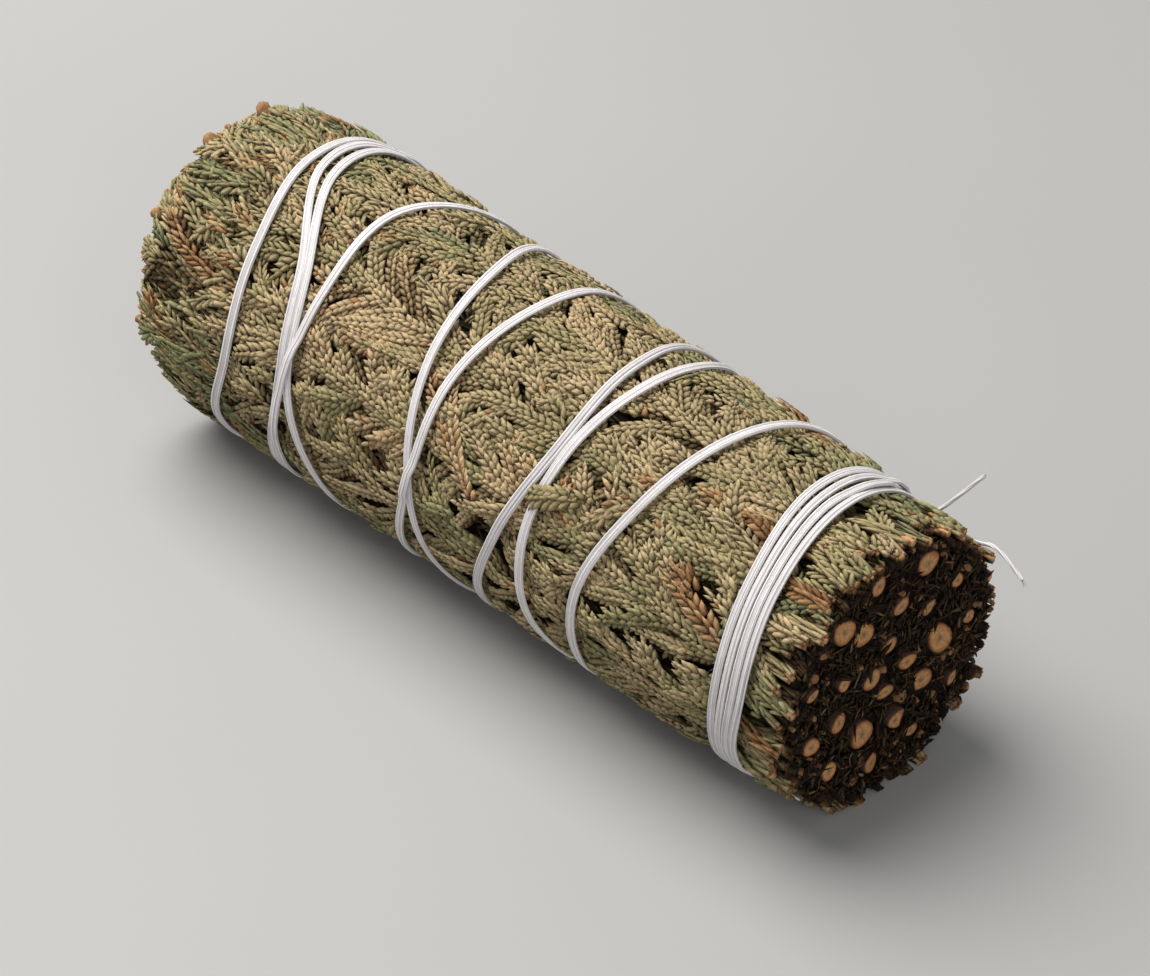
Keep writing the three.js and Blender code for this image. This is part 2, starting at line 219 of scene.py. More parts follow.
def stem_wood_material():
    """Pith, pale wood with faint year rings, orange inner bark and rusty outer bark, by the ring mark."""
    material, tree, shader = new_material("stem_wood", 0.75)
    ring = node_of(tree, "ShaderNodeAttribute", attribute_name="ring")
    ramp = colour_ramp(tree, [
        (0.0, (0.04, 0.016, 0.007)), (0.08, (0.09, 0.036, 0.014)), (0.15, (0.3, 0.165, 0.072)),
        (0.45, (0.45, 0.25, 0.105)), (0.7, (0.43, 0.215, 0.078)), (0.84, (0.36, 0.128, 0.034)),
        (0.94, (0.17, 0.055, 0.017)), (1.0, (0.05, 0.024, 0.013)),
    ])
    tree.links.new(ring.outputs["Fac"], ramp.inputs["Fac"])
    fibres = noise_on_object(tree, 2600, 4)
    stain = colour_ramp(tree, [(0.3, (0.6, 0.55, 0.5)), (0.7, (1.15, 1.12, 1.05))])
    tree.links.new(fibres.outputs["Fac"], stain.inputs["Fac"])
    colour = multiplied(tree, ramp.outputs["Color"], stain.outputs["Color"])
    tree.links.new(colour, shader.inputs["Base Color"])
    bumped(tree, fibres.outputs["Fac"], shader, 0.5, 0.00012)
    return material


stem_wood = stem_wood_material()
CRESCENT_SPRIG = 16
CUT_FACE = [(0, 0.12), (0, 0.3), (0, 0.55), (0, 0.78), (0, 0.92), (0.05, 1.0)]
DOWN_THE_STEM = [0.6, 3, 8, 20, 40, 60, 80, 100]


def stem(ring, index):
    """A knobbly stem with a slightly slanted cut. One of them has split, so its cut is a crescent."""
    plan = stem_plan(ring, index)
    seed = ring["seed"] + index * 23
    number = ring["first"] + index
    length = plan["butt"] - plan["leafy"]
    stations = CUT_FACE + [(depth, 1) for depth in DOWN_THE_STEM if depth < length - 2]
    stations += [(length - 0.3, 1), (length, 0.8), (length, 0.3)]
    bm = rod(16, stations)
    marks = []
    lean = [chance(-0.22, 0.22, seed + 5), chance(-0.22, 0.22, seed + 6)]
    flat = chance(0.84, 1, seed + 7)
    turn = chance(0, math.pi, seed + 8)
    for vert in bm.verts:
        depth, side, out = vert.co
        share = math.hypot(side, out)
        on_cut = depth < 0.3 or depth > length - 0.2
        marks.append(min(share, 1) if on_cut else 1)
        x = plan["butt"] - depth
        thin = depth / length
        radius = WITH_BARK * plan["radius"] + (plan["tip_radius"] - plan["radius"]) * thin
        three_ribs = 0.05 * math.sin(3 * math.atan2(out, side) + seed)
        knobbly = 1 + three_ribs + 0.04 * math.sin(depth * 0.9 + seed)
        a = side * math.cos(turn) - out * math.sin(turn)
        b = side * math.sin(turn) + out * math.cos(turn)
        a *= flat
        side = (a * math.cos(turn) + b * math.sin(turn)) * radius * knobbly
        out = (-a * math.sin(turn) + b * math.cos(turn)) * radius * knobbly
        if number == CRESCENT_SPRIG:
            side = 0.62 * side + 0.3 * (out * out - 1)
        middle, _ = cell(ring, index, x)
        _, y, z = place(x, middle, plan["at"] + plan["rise"] * thin)
        cut = (lean[0] * side + lean[1] * out) if depth < 1 else 0
        vert.co = (x + cut, y + side, z + out)
    name = f"sprig_{number:02d}"
    finished(f"{name}_wood", bm, [stem_wood], f"{name}_stem", {"ring": marks})


for ring in (OUTER, MIDDLE, CENTRE):
    for index in range(ring["count"]):
        stem(ring, index)


# The scale leaves
# The plant is a scale-leaved conifer. Each leaf is a keeled green scale, 1.5 to 4 mm long, pressed to its
# twig and pointing to the twig's tip, and it dries to khaki, olive and tan; painted shade darkens it where
# it is covered.
OLIVE, KHAKI, TAN, RUST, BROWN, CUT_WOOD = 0.25, 0.5, 0.7, 0.88, 0.94, 1.0


def dried_leaf_material():
    """The leaf's colour by its tint mark; paler to its tip; painted shade at its tucked root and by its
    depth mark; mottled all over.
    """
    material, tree, shader = new_material("dried_leaf", 0.82)
    shader.inputs["Specular IOR Level"].default_value = 0.22
    tint = node_of(tree, "ShaderNodeAttribute", attribute_name="tint")
    colours = colour_ramp(tree, [
        (0.0, (0.163, 0.176, 0.096)), (0.2, (0.215, 0.212, 0.112)), (0.42, (0.3, 0.256, 0.137)),
        (0.62, (0.38, 0.304, 0.184)), (0.78, (0.44, 0.335, 0.204)), (0.88, (0.31, 0.172, 0.08)),
        (0.94, (0.15, 0.07, 0.028)), (1.0, (0.46, 0.26, 0.13)),
    ])
    tree.links.new(tint.outputs["Fac"], colours.inputs["Fac"])
    tip = node_of(tree, "ShaderNodeAttribute", attribute_name="tip")
    # Partly real and partly painted shade: tips dry paler, and each root is darkened with painted shade
    # where it is tucked under the leaf before.
    tucked_root_shade_and_pale_tip = colour_ramp(tree, [
        (0, (0.4, 0.34, 0.26)), (0.42, (0.86, 0.84, 0.8)), (1, (1.28, 1.26, 1.2)),
    ])
    tree.links.new(tip.outputs["Fac"], tucked_root_shade_and_pale_tip.inputs["Fac"])
    # Painted shade: the depth mark darkens a leaf towards near black the deeper it lies under other leaves.
    depth = node_of(tree, "ShaderNodeAttribute", attribute_name="depth")
    in_shade = colour_ramp(tree, [
        (0, (0.025, 0.017, 0.009)), (0.45, (0.22, 0.18, 0.12)), (0.8, (1, 1, 1)),
    ])
    tree.links.new(depth.outputs["Fac"], in_shade.inputs["Fac"])
    blotches = noise_on_object(tree, 700, 5)
    mottle = colour_ramp(tree, [(0.3, (0.74, 0.73, 0.7)), (0.7, (1.18, 1.17, 1.12))])
    tree.links.new(blotches.outputs["Fac"], mottle.inputs["Fac"])
    colour = multiplied(tree, colours.outputs["Color"], tucked_root_shade_and_pale_tip.outputs["Color"])
    colour = multiplied(tree, colour, in_shade.outputs["Color"])
    colour = multiplied(tree, colour, mottle.outputs["Color"])
    tree.links.new(colour, shader.inputs["Base Color"])
    grain = noise_on_object(tree, 3500, 3)
    bumped(tree, grain.outputs["Fac"], shader, 0.7, 0.0002)
    return material


dried_leaf = dried_leaf_material()


def as_part(bm, tips=None, tip=0.5):
    """A small mesh to be placed many times, with its vertices' marks: how near a leaf's tip each is, how
    light its leaf is, and whether it is on a cut."""
    mesh = bpy.data.meshes.new("part")
    bm.to_mesh(mesh)
    bm.free()
    count = len(mesh.vertices)
    return {"mesh": mesh, "tips": tips or [tip] * count, "tones": [0] * count, "cuts": [False] * count}


def scale_leaf(shoulder, shoulder_width):
    """One leaf of length, width and thickness 1 with a keel along its back, from its root at X = 0."""
    bm = bmesh.new()
    lying = Matrix.Translation((0.5, 0, 0)) @ Matrix.Rotation(math.pi / 2, 4, "X")
    bmesh.ops.create_uvsphere(
        bm, u_segments=3, v_segments=3, radius=0.5, matrix=lying @ Matrix.Rotation(math.pi / 2, 4, "Y")
    )
    for vert in bm.verts:
        x, y, z = vert.co
        wide = shoulder_width if 0.5 < x < 0.9 else 1
        x = shoulder if 0.5 < x < 0.9 else (0.2 if 0.1 < x < 0.5 else x)
        vert.co = (x, y * 1.33 * wide, z * wide * (1.15 if z > 0 else 0.6) - 0.08 * x * x)
    return as_part(bm, tips=[vert.co.x for vert in bm.verts])


POINTED_LEAF = scale_leaf(0.6, 0.8)
BLUNT_LEAF = scale_leaf(0.82, 0.82)


def put(bm, mesh, matrix):
    """Adds a copy of the mesh, moved by the matrix."""
    moved = mesh.copy()
    moved.transform(matrix)
    bm.from_mesh(moved)
    bpy.data.meshes.remove(moved)


# The twigs
# On a twig the leaves stand in crossed pairs, two at the sides and one on the face between them, each
# pair over the roots of the next, so a twig looks plaited. Twigs are flat and about 2 mm wide.
def turned(x=0, y=0, z=0):
    """A turn in degrees about the twig's own length, then its width, then its face."""
    return (
        Matrix.Rotation(math.radians(z), 4, "Z")
        @ Matrix.Rotation(math.radians(y), 4, "Y")
        @ Matrix.Rotation(math.radians(x), 4, "X")
    )


def sized(x, y, z):
    return Matrix.Diagonal((x, y, z, 1))


def narrowing(share):
    return 0.84 + 0.22 * math.sin(math.pi * min(1, share * 1.1)) - 0.3 * max(0, share - 0.6)


def even(share):
    return 1


SPRAY = {
    "shape": POINTED_LEAF, "step": 1, "leaf": 1.62, "width": 0.98, "thick": 0.5, "open": 30, "apart": 0.26,
    "raised": 3, "size": narrowing, "before": 0,
}
FERN = {
    "shape": POINTED_LEAF, "step": 1.1, "leaf": 1.9, "width": 0.86, "thick": 0.5, "open": 36, "apart": 0.26,
    "raised": 4, "size": narrowing, "before": 0,
}
TUFT = {
    "shape": BLUNT_LEAF, "step": 1.2, "leaf": 2.15, "width": 0.8, "thick": 0.62, "open": 26, "apart": 0.27,
    "raised": 8, "size": narrowing, "before": 0,
}
STRIP = {
    "shape": POINTED_LEAF, "step": 1.75, "leaf": 4.3, "width": 0.78, "thick": 0.72, "open": 6,
    "apart": 0.36, "raised": 3, "size": even, "before": 1,
}


def twig(style, steps, bend, seed):
    """A twig lying along X from its root, or its cut end, at 0."""
    dice = random.Random(seed)
    bm = bmesh.new()
    tips, tones = [], []

    def add_leaf(x, y, z, turn, size):
        long = style["leaf"] * size * dice.uniform(0.88, 1.1)
        shape = sized(long, style["width"] * size, style["thick"] * size)
        put(bm, style["shape"]["mesh"], Matrix.Translation((x, y, z)) @ turn @ shape)
        tips.extend(style["shape"]["tips"])
        tones.extend([dice.uniform(-1, 1)] * len(style["shape"]["tips"]))

    for step in range(steps):
        x = (step - style["before"]) * style["step"]
        size = style["size"]((step + 0.5) / steps)
        for side in (-1, 1):
            opening = side * (style["open"] + dice.uniform(-6, 6))
            turn = turned(x=side * -14, y=-style["raised"] + dice.uniform(-4, 4), z=opening)
            add_leaf(x + side * 0.25 * style["step"], side * style["apart"] * size, 0, turn, size)
        turn = turned(x=dice.uniform(-10, 10), y=-5, z=dice.uniform(-8, 8))
        add_leaf(x + 0.4 * style["step"], dice.uniform(-0.05, 0.05), 0.2 * size, turn, 0.85 * size)
    add_leaf((steps - style["before"]) * style["step"] - 0.1, 0, 0.04, turned(y=-4), style["size"](1))
    cuts = [vert.co.x < 0 for vert in bm.verts]
    for vert in bm.verts:
        x = max(0, vert.co.x) if style["before"] else vert.co.x
        vert.co = (x, vert.co.y + bend * x * x, vert.co.z)
    part = as_part(bm, tips=tips)
    part["tones"] = tones
    part["cuts"] = cuts if style["before"] else part["cuts"]
    return part


def twig_kit(style, step_counts):
    """Twigs of each length, bent left, straight and bent right."""
    kit = {}
    for steps in step_counts:
        kit[steps] = [twig(style, steps, bend, steps * 10 + i) for i, bend in enumerate((-0.018, 0, 0.018))]
    return kit


spray_twigs = twig_kit(SPRAY, range(2, 14))
fern_twigs = twig_kit(FERN, range(2, 12))
tuft_twigs = twig_kit(TUFT, range(2, 7))
strip_twigs = twig_kit(STRIP, range(4, 7))


# The outer sprigs
# Eleven flat sprays lie round the outside with their tips to the leafy end. On each, twigs stand left
# and right of a middle twig like the barbs of a feather, and neighbouring sprays overlap a little.
class Foliage:
    """The leaves of one sprig as they are laid, with each vertex's colour marks."""

    def __init__(self, seed):
        self.bm = bmesh.new()
        self.dice = random.Random(seed)
        self.marks = {"tint": [], "tip": [], "depth": []}

    def add(self, part, matrix, tint, depth=1):
        put(self.bm, part["mesh"], matrix)
        for tone, cut in zip(part["tones"], part["cuts"]):
            rusty = tone > 0.97 and tint < TAN + 0.1
            self.marks["tint"].append(CUT_WOOD if cut else RUST if rusty else tint + 0.05 * tone)
        self.marks["tip"] += part["tips"]
        self.marks["depth"] += [depth] * len(part["tips"])

    def add_twig(self, kit, steps, matrix, tint, depth=1):
        steps = max(min(kit), min(max(kit), steps))
        self.add(self.dice.choice(kit[steps]), matrix, tint, depth)

    def add_shaped(self, part, shape, tint, depth=1):
        """Adds the part with each vertex moved to where the shape says."""
        start = len(self.bm.verts)
        self.add(part, Matrix(), tint, depth)
        self.bm.verts.ensure_lookup_table()
        for vert in self.bm.verts[start:]:
            vert.co = shape(vert.co)


def leaf_tint(dice, x, angle):
    """Greener low down and at both ends, khaki and tan between, in patches, with a few rusty twigs."""
    degrees = math.degrees(angle) % 360
    low = max(0, 1 - abs(degrees - 130) / 70, 1 - abs(degrees - 320) / 50)
    ends = min(1, max(0, (-34 - x) / 14, (x - 44) / 15))
    patch = noise.noise(Vector((x / 7, math.cos(angle) * 2.6, math.sin(angle) * 2.6)))
    if dice.random() < 0.025 + 0.13 * ends:
        return dice.uniform(0.82, 0.92)
    mean = 0.6 - 0.3 * low - 0.26 * ends + 0.36 * patch
    return min(0.78, max(0.02, dice.gauss(mean, 0.06 + 0.1 * ends)))


# Where a spray's twigs start, end and follow each other, by x, and the same for the layer under them and
# for the twig down its middle
SPRAY_FROM, SPRAY_TO, SPRAY_STEP = 52.5, -49, 1.48
UNDER_FROM, UNDER_TO, UNDER_STEP = 53, -46, 2.3
SPINE_FROM, SPINE_TO, SPINE_STEP = 46, -46, 5.6
SPRAY_HEIGHT, UNDER_HEIGHT, SPINE_HEIGHT = -0.95, -1.8, -0.6


def spray_angle(index, x):
    """The angle between a spray's side twigs and the bundle, sharper near both ends."""
    towards_leafy = min(1, max(0, (-x - 20) / 28))
    towards_butt = min(1, max(0, (x - 22) / 20))
    return 38 - 10 * towards_leafy - 9 * towards_butt + 5 * math.sin(x / 9 + 2.1 * index)


def lay_spray(foliage, index):
    """The feather of twigs, laid out flat: X along the bundle, Y across, Z out of it."""
    dice = foliage.dice
    x = SPRAY_FROM - dice.uniform(0, 1)
    side = 1
    while x > SPRAY_TO:
        middle, half = cell(OUTER, index, x - 4)
        angle = spray_angle(index, x) + dice.gauss(0, 4)
        reach = float(half * leaf_radius(x)) + dice.uniform(0.4, 2.2)
        length = min(reach / math.sin(math.radians(angle)), x + 55)
        tint = leaf_tint(dice, x, float(middle) + side * 0.14)
        at = Matrix.Translation((x, -side * 0.1, SPRAY_HEIGHT + dice.uniform(-0.45, 0.35)))
        turn = turned(x=side * dice.uniform(2, 16), y=-dice.uniform(1, 5), z=180 - side * angle)
        open_twigs = dice.random() < min(1, max(0.12, (-12 - x) / 20))
        kit, style = (fern_twigs, FERN) if open_twigs else (spray_twigs, SPRAY)
        foliage.add_twig(kit, round(length / style["step"]) - 1, at @ turn, tint)
        for _ in range(dice.choice((0, 1, 1, 1, 2)) if length > 5 else 0):
            hand = dice.choice((-1, 1))
            grown = Matrix.Translation((length * dice.uniform(0.25, 0.8), hand * 0.2, 0.1))
            fork = turned(x=-hand * 10, y=-3, z=hand * dice.uniform(22, 36))
            foliage.add_twig(kit, dice.choice((2, 3, 3, 4)), at @ turn @ grown @ fork, tint + 0.03)
        x -= SPRAY_STEP + dice.uniform(-0.2, 0.2)
        side = -side
    # This layer lies so low that the depth mark paints it near black, as painted shade in the gaps between
    # the twigs above.
    x = UNDER_FROM
    while x > UNDER_TO:
        _, half = cell(OUTER, index, x)
        edge = side * float(half) * 14
        for across, swing in ((0, 35 * side), (edge, -12 * side)):
            at = Matrix.Translation((x, across, UNDER_HEIGHT + dice.uniform(-0.2, 0.1)))
            turn = turned(x=dice.uniform(-20, 20), z=180 + swing + dice.gauss(0, 10))
            foliage.add_twig(tuft_twigs, 4, at @ turn, 0.4)
        x -= UNDER_STEP
        side = -side
    x = SPINE_FROM
    while x > SPINE_TO:
        middle, _ = cell(OUTER, index, x)
        tint = leaf_tint(dice, x, float(middle))
        at = Matrix.Translation((x, dice.uniform(-0.2, 0.2), SPINE_HEIGHT))
        foliage.add_twig(spray_twigs, 7, at @ turned(z=180 + dice.gauss(0, 5), y=-2), tint - 0.05)
        x -= SPINE_STEP


STRAY_TWIGS = 6


def lay_stray_twigs(foliage, index):
    """Twigs that have slipped from their feather and lie over it at an angle."""
    dice = foliage.dice
    for _ in range(STRAY_TWIGS):
        x = dice.uniform(-34, 42)
        middle, half = cell(OUTER, index, x)
        across = dice.uniform(-0.8, 0.8) * float(half) * 18
        at = Matrix.Translation((x, across, -0.5))
        turn = turned(x=dice.uniform(-10, 10), y=1.5, z=180 + dice.gauss(0, 26))
        tint = leaf_tint(dice, x, float(middle) - across / 18)
        foliage.add_twig(dice.choice((spray_twigs, fern_twigs)), dice.randint(5, 9), at @ turn, tint)


# Twigs that stand out in the bundle: where each starts and ends, by x and by the angle from the top, its
# tint, how high it lies, and how much it rises in its middle
MARKED_TWIGS = (
    ((5, 74), (-9, 36), 0.85, -0.3, 0.25),
    ((19.6, 51), (11.4, 61), 0.46, -0.25, 1.25),
    ((-24, 6), (-33, 22), 0.86, -0.5, 0.2),
    ((-14, 44), (-19, 48), 0.86, -0.4, 0.1),
    ((29, 28), (24, 34), 0.84, -0.4, 0.1),
)


def sprig_under(x, degrees):
    """The outer sprig whose place in the ring is under this spot."""
    def turn_to(index):
        return abs(math.remainder(float(cell(OUTER, index, x)[0]) - math.radians(degrees), 2 * math.pi))

    return min(range(OUTER["count"]), key=turn_to)


def lay_marked_twigs(foliage, index):
    """The marked twigs that lie on this sprig, each with a second, shorter one on it."""
    for number, (root, tip, tint, height, rise) in enumerate(MARKED_TWIGS):
        if sprig_under((root[0] + tip[0]) / 2, (root[1] + tip[1]) / 2) != index:
            continue
        flat = []
        for x, degrees in (root, tip):
            turn = math.remainder(float(cell(OUTER, index, x)[0]) - math.radians(degrees), 2 * math.pi)
            flat.append(Vector((x, turn * float(full_radius(x)))))
        start, run = flat[0], flat[1] - flat[0]
        ahead = run.normalized()
        length = run.length

        def over_the_rest(point):
            spot = start + ahead * point.x + Vector((-ahead.y, ahead.x)) * point.y
            arched = rise * math.sin(math.pi * min(1, max(0, point.x / length)))
            return Vector((spot.x, spot.y, height + arched + point.z))

        steps = round(length / FERN["step"])
        foliage.add_shaped(twig(FERN, steps, 0.004, 900 + number), over_the_rest, tint)
        foliage.add_shaped(twig(SPRAY, steps - 1, -0.01, 950 + number), over_the_rest, tint - 0.04)


BRUSH_TWIGS = 62
TRIMMED_AT = -54


def lay_leafy_brush(foliage, index):
    """Past the last turns of thread the twigs run along the bundle in a tousled brush."""
    dice = foliage.dice
    for _ in range(BRUSH_TWIGS):
        x = dice.uniform(-51, -36)
        middle, half = cell(OUTER, index, x)
        across = dice.uniform(-1, 1) * float(half) * 19
        at = Matrix.Translation((x, across, -0.9 + dice.uniform(-0.7, 0.55)))
        turn = turned(x=dice.uniform(-40, 40), y=-dice.uniform(-5, 9), z=180 + dice.gauss(0, 24))
        tint = leaf_tint(dice, x - 6, float(middle) - across / 19)
        kit = dice.choice((tuft_twigs, tuft_twigs, fern_twigs))
        foliage.add_twig(kit, dice.randint(3, 6), at @ turn, tint)
    for vert in foliage.bm.verts:
        if vert.co.x < TRIMMED_AT:
            vert.co.x = TRIMMED_AT + 0.25 * (vert.co.x - TRIMMED_AT)


# Cut twigs that stand out at the leafy rim, by angle, how thick, and how far out
RIM_TWIGS = (
    (-12, 1.2, 0.7), (6, 0.6, 0.3), (15, 1, 0.5), (37, 0.6, 0), (50, 0.85, 0.3), (61, 0.55, 0.2),
    (92, 0.85, 0.4), (130, 0.6, 0.4), (175, 0.5, 0), (-50, 0.7, 0.2), (-95, 0.5, 0.3), (-140, 0.6, 0.1),
)


RIM_TWIG_LENGTH = 9


def lay_rim_twigs(foliage, index):
    """Each rim twig curves out of the heart to the rim and ends in torn wood, with leaves beside it."""
    for degrees, thick, out in RIM_TWIGS:
        if sprig_under(-50, degrees) != index:
            continue
        turn = math.remainder(float(cell(OUTER, index, -50)[0]) - math.radians(degrees), 2 * math.pi)

        def to_the_rim(point):
            share = (point.x / RIM_TWIG_LENGTH) ** 2
            fine_knobs = 0.12 * math.sin(point.x * 6 + point.y * 3)
            knobbly = 1 + 0.2 * math.sin(point.x * 2.1 + degrees) + fine_knobs
            height = -5 + (5 + out) * share + point.z * knobbly
            slanted = 0.35 * point.z * (point.x > 8)
            return Vector((-45.8 - point.x - slanted, turn * 19 + point.y * knobbly, height))

        knobs = [(1 + 0.55 * step, thick * foliage.dice.uniform(0.8, 1.12)) for step in range(14)]
        bark = [(0, thick * 0.8)] + knobs
        torn = [(7.9, thick * 0.8), (8.5, thick * 0.95), (9, thick * 0.85), (9.1, thick * 0.5)]
        foliage.add_shaped(as_part(rod(9, bark), tip=0.5), to_the_rim, RUST + 0.035)
        foliage.add_shaped(as_part(rod(9, torn), tip=0.6), to_the_rim, CUT_WOOD - 0.03)
        for _ in range(3):
            beside = Matrix.Translation((-51.5, turn * 19 + foliage.dice.uniform(-1.3, 1.3), out - 0.7))
            spread = turned(y=-8, z=180 + foliage.dice.gauss(0, 25))
            foliage.add_twig(tuft_twigs, 3, beside @ spread, foliage.dice.uniform(OLIVE, TAN))


# How many cut strips lie side by side on a sprig at the butt, and how high, layer by layer
# The lower layers lie deeper, so the depth mark darkens them with painted shade.
STRIP_LAYERS = ((6, -0.6), (7, -1.6), (4, -2.6))


def lay_butt_strips(foliage, index):
    """The sprays' lower ends, cut off at the butt, where long scales cover thin woody shoots."""
    dice = foliage.dice
    middle, half = cell(OUTER, index, HALF_LENGTH)
    width = float(half * leaf_radius(HALF_LENGTH))
    for layer, (count, height) in enumerate(STRIP_LAYERS):
        for place_across in range(count):
            share = (place_across + 0.5 + 0.5 * layer) / count * 2 - 1
            across = share * width + dice.uniform(-0.3, 0.3)
            cut = HALF_LENGTH + dice.uniform(-2.4, 1) * (1 - 0.3 * layer)
            tint = leaf_tint(dice, 50, float(middle) - across / 18)
            at = Matrix.Translation((cut, across, height + dice.uniform(-0.5, 0.35)))
            swing = share * -5 + dice.gauss(0, 8)
            turn = turned(x=dice.uniform(-35, 35), y=dice.uniform(1, 7), z=180 + swing)
            foliage.add_twig(strip_twigs, dice.choice((4, 5, 6)), at @ turn, tint)
            if layer == 0 and dice.random() < 0.55:
                grown = Matrix.Translation((-dice.uniform(0, 3), dice.uniform(-0.8, 0.8), 0.2))
                along = turned(z=180 + swing * 2, y=-1)
                kit = dice.choice((spray_twigs, spray_twigs, tuft_twigs))
                foliage.add_twig(kit, dice.choice((3, 4, 5)), at @ grown @ along, tint)
            if dice.random() < 0.45:
                continue
            shoot = dice.uniform(0.2, 0.6)
            cut_shoot = as_part(rod(7, [(-0.14, shoot * 0.7), (-0.1, shoot), (1.5, shoot * 0.8)]), tip=0.7)
            foliage.add(cut_shoot, at @ turn, CUT_WOOD, 0.9)


def wrap(foliage, ring, index):
    """Bends the flat spray round the bundle."""
    flat = np.array([vert.co for vert in foliage.bm.verts])
    x, across, height = flat.T
    middle, _ = cell(ring, index, x)
    points = place(x, middle - across / full_radius(x), leaf_radius(x) + height)
    for vert, point in zip(foliage.bm.verts, np.stack(points, -1)):
        vert.co = point
    # Painted shade: the lower a leaf lies under the others, the darker it is painted, and darker still past
    # the last turns at the leafy end.
    tousled = np.clip((-36 - x) / 8, 0, 1)
    foliage.marks["depth"] = list(np.clip((height + 1.8) / 1.6 - 0.36 * tousled, 0, 1))


HEART_FROM, HEART_TO = -49.5, 53


def add_heart(foliage, ring, index, top_below):
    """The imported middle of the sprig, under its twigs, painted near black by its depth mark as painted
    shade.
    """
    steps = [(HEART_FROM + (HEART_TO - HEART_FROM) * step / 12, 1) for step in range(13)]

    def heart_point(point):
        x, side, out = point
        middle, half = cell(ring, index, x)
        top = ring.get("outside") or full_radius(x) - top_below
        square_out = math.copysign(abs(out) ** 0.6, out)
        square_side = math.copysign(abs(side) ** 0.5, side)
        radius = (ring["inside"] + top) / 2 + square_out * (top - ring["inside"]) / 2
        return place(x, middle + square_side * half, radius)

    foliage.add_shaped(as_part(rod(12, steps), tip=0.3), heart_point, BROWN, 0.1)


def spot_in_cell(dice, ring, index, x, outside):
    """The angle and radius of a spot drawn evenly over a sprig's place in its ring."""
    middle, half = cell(ring, index, x)
    radius = math.sqrt(dice.uniform(ring["inside"] ** 2, outside**2))
    return middle + dice.uniform(-1, 1) * half, radius


def cut_stems():
    """Where each stem comes out at the butt, and its radius."""
    for ring in (OUTER, MIDDLE, CENTRE):
        for index in range(ring["count"]):
            plan = stem_plan(ring, index)
            _, y, z = place(HALF_LENGTH, cell(ring, index, HALF_LENGTH)[0], plan["at"])
            yield Vector((0, y, z)), WITH_BARK * plan["radius"]


CUT_STEMS = list(cut_stems())


def clear_of_stems(points, room):
    flat = [Vector((0, point[1], point[2])) for point in points]
    return all((spot - stem).length > radius + room for stem, radius in CUT_STEMS for spot in flat)


# Where the cut is, and how many slivers and thin shoots lie on a square millimetre of it
CUT_AT = 53.85
SLIVERS, THIN_SHOOTS = 4.8, 0.13


def add_shreds(foliage, ring, index, outside):
    """The cut butt between the stems: slivers of leaf that lie in the cut, darkened with painted shade the
    deeper they lie, some lighter as painted glints, and a few thin shoots.
    """
    dice = foliage.dice
    area = math.pi / ring["count"] * (outside**2 - ring["inside"] ** 2)
    for _ in range(int(area * SLIVERS)):
        x = CUT_AT - abs(dice.gauss(0, 0.6))
        angle, radius = spot_in_cell(dice, ring, index, x, outside)
        at = Matrix.Translation(place(x, angle, radius))
        in_the_cut = Matrix.Rotation(dice.uniform(0, 2 * math.pi), 4, "X")
        turn = turned(x=dice.uniform(0, 360), z=90 + dice.gauss(0, 16))
        coarse = 1.4 if radius > 15 else 1
        long = dice.uniform(0.9, 2.5) / coarse
        lying = at @ in_the_cut @ turn
        if not clear_of_stems([lying @ Vector((long * share, 0, 0)) for share in (0, 0.5, 1)], 0.05):
            continue
        wide, thick = dice.uniform(0.22, 0.62) * coarse, dice.uniform(0.14, 0.34) * coarse
        tint = dice.choice((OLIVE, KHAKI, BROWN, RUST, RUST))
        # Painted shade: slivers are darkened the deeper they lie in the cut, and about one in seven is left
        # lighter as a painted glint.
        shade = max(0.04, 0.45 - 0.3 * (CUT_AT - x)) * dice.uniform(0.25, 1)
        if dice.random() < 0.14:
            shade = dice.uniform(0.42, 0.66)
        foliage.add(POINTED_LEAF, lying @ sized(long, wide, thick), tint, shade)
    for _ in range(int(area * THIN_SHOOTS + dice.random())):
        x = dice.uniform(53.2, 53.9)
        angle, radius = spot_in_cell(dice, ring, index, x, outside)
        thick = dice.uniform(0.2, 0.65)
        if not clear_of_stems([place(x, angle, radius)], thick):
            continue
        at = Matrix.Translation(place(x, angle, radius))
        turn = turned(y=dice.uniform(-25, 25), z=180 + dice.uniform(-25, 25))
        shoot = as_part(rod(7, [(0, thick * 0.8), (0.06, thick), (3, thick)]), tip=0.4)
        # Painted shade: the thin shoots are darkened a little by their depth mark.
        foliage.add(shoot, at @ turn, CUT_WOOD, 0.6)


TIPS = 0.76


def add_leafy_tips(foliage, ring, index, outside):
    """The twig tips that close the leafy end, trimmed to one length and pointing out of it."""
    dice = foliage.dice
    area = math.pi / ring["count"] * (outside**2 - ring["inside"] ** 2)
    for _ in range(int(area * TIPS)):
        angle, radius = spot_in_cell(dice, ring, index, -50, outside)
        at = Matrix.Translation(place(-50.1 - dice.uniform(0, 1.3), angle, radius))
        lean = 3 + 12 * radius / 19
        outward = turned(x=dice.uniform(0, 360), y=-lean + dice.gauss(0, 12), z=180 + dice.gauss(0, 14))
        about = Matrix.Rotation(angle, 4, "X")
        lying = at @ about @ outward
        tint = leaf_tint(dice, -48, angle)
        # Painted shade: each tip is darkened by a random depth mark, as if it lay deeper among the others.
        foliage.add_twig(tuft_twigs, dice.choice((2, 3, 3)), lying, tint, dice.uniform(0.55, 1))


# How high the thread under the bundle keeps its leaves, and how much of them is pressed flat
THREAD_ROOM, PRESSED = 1, 0.35


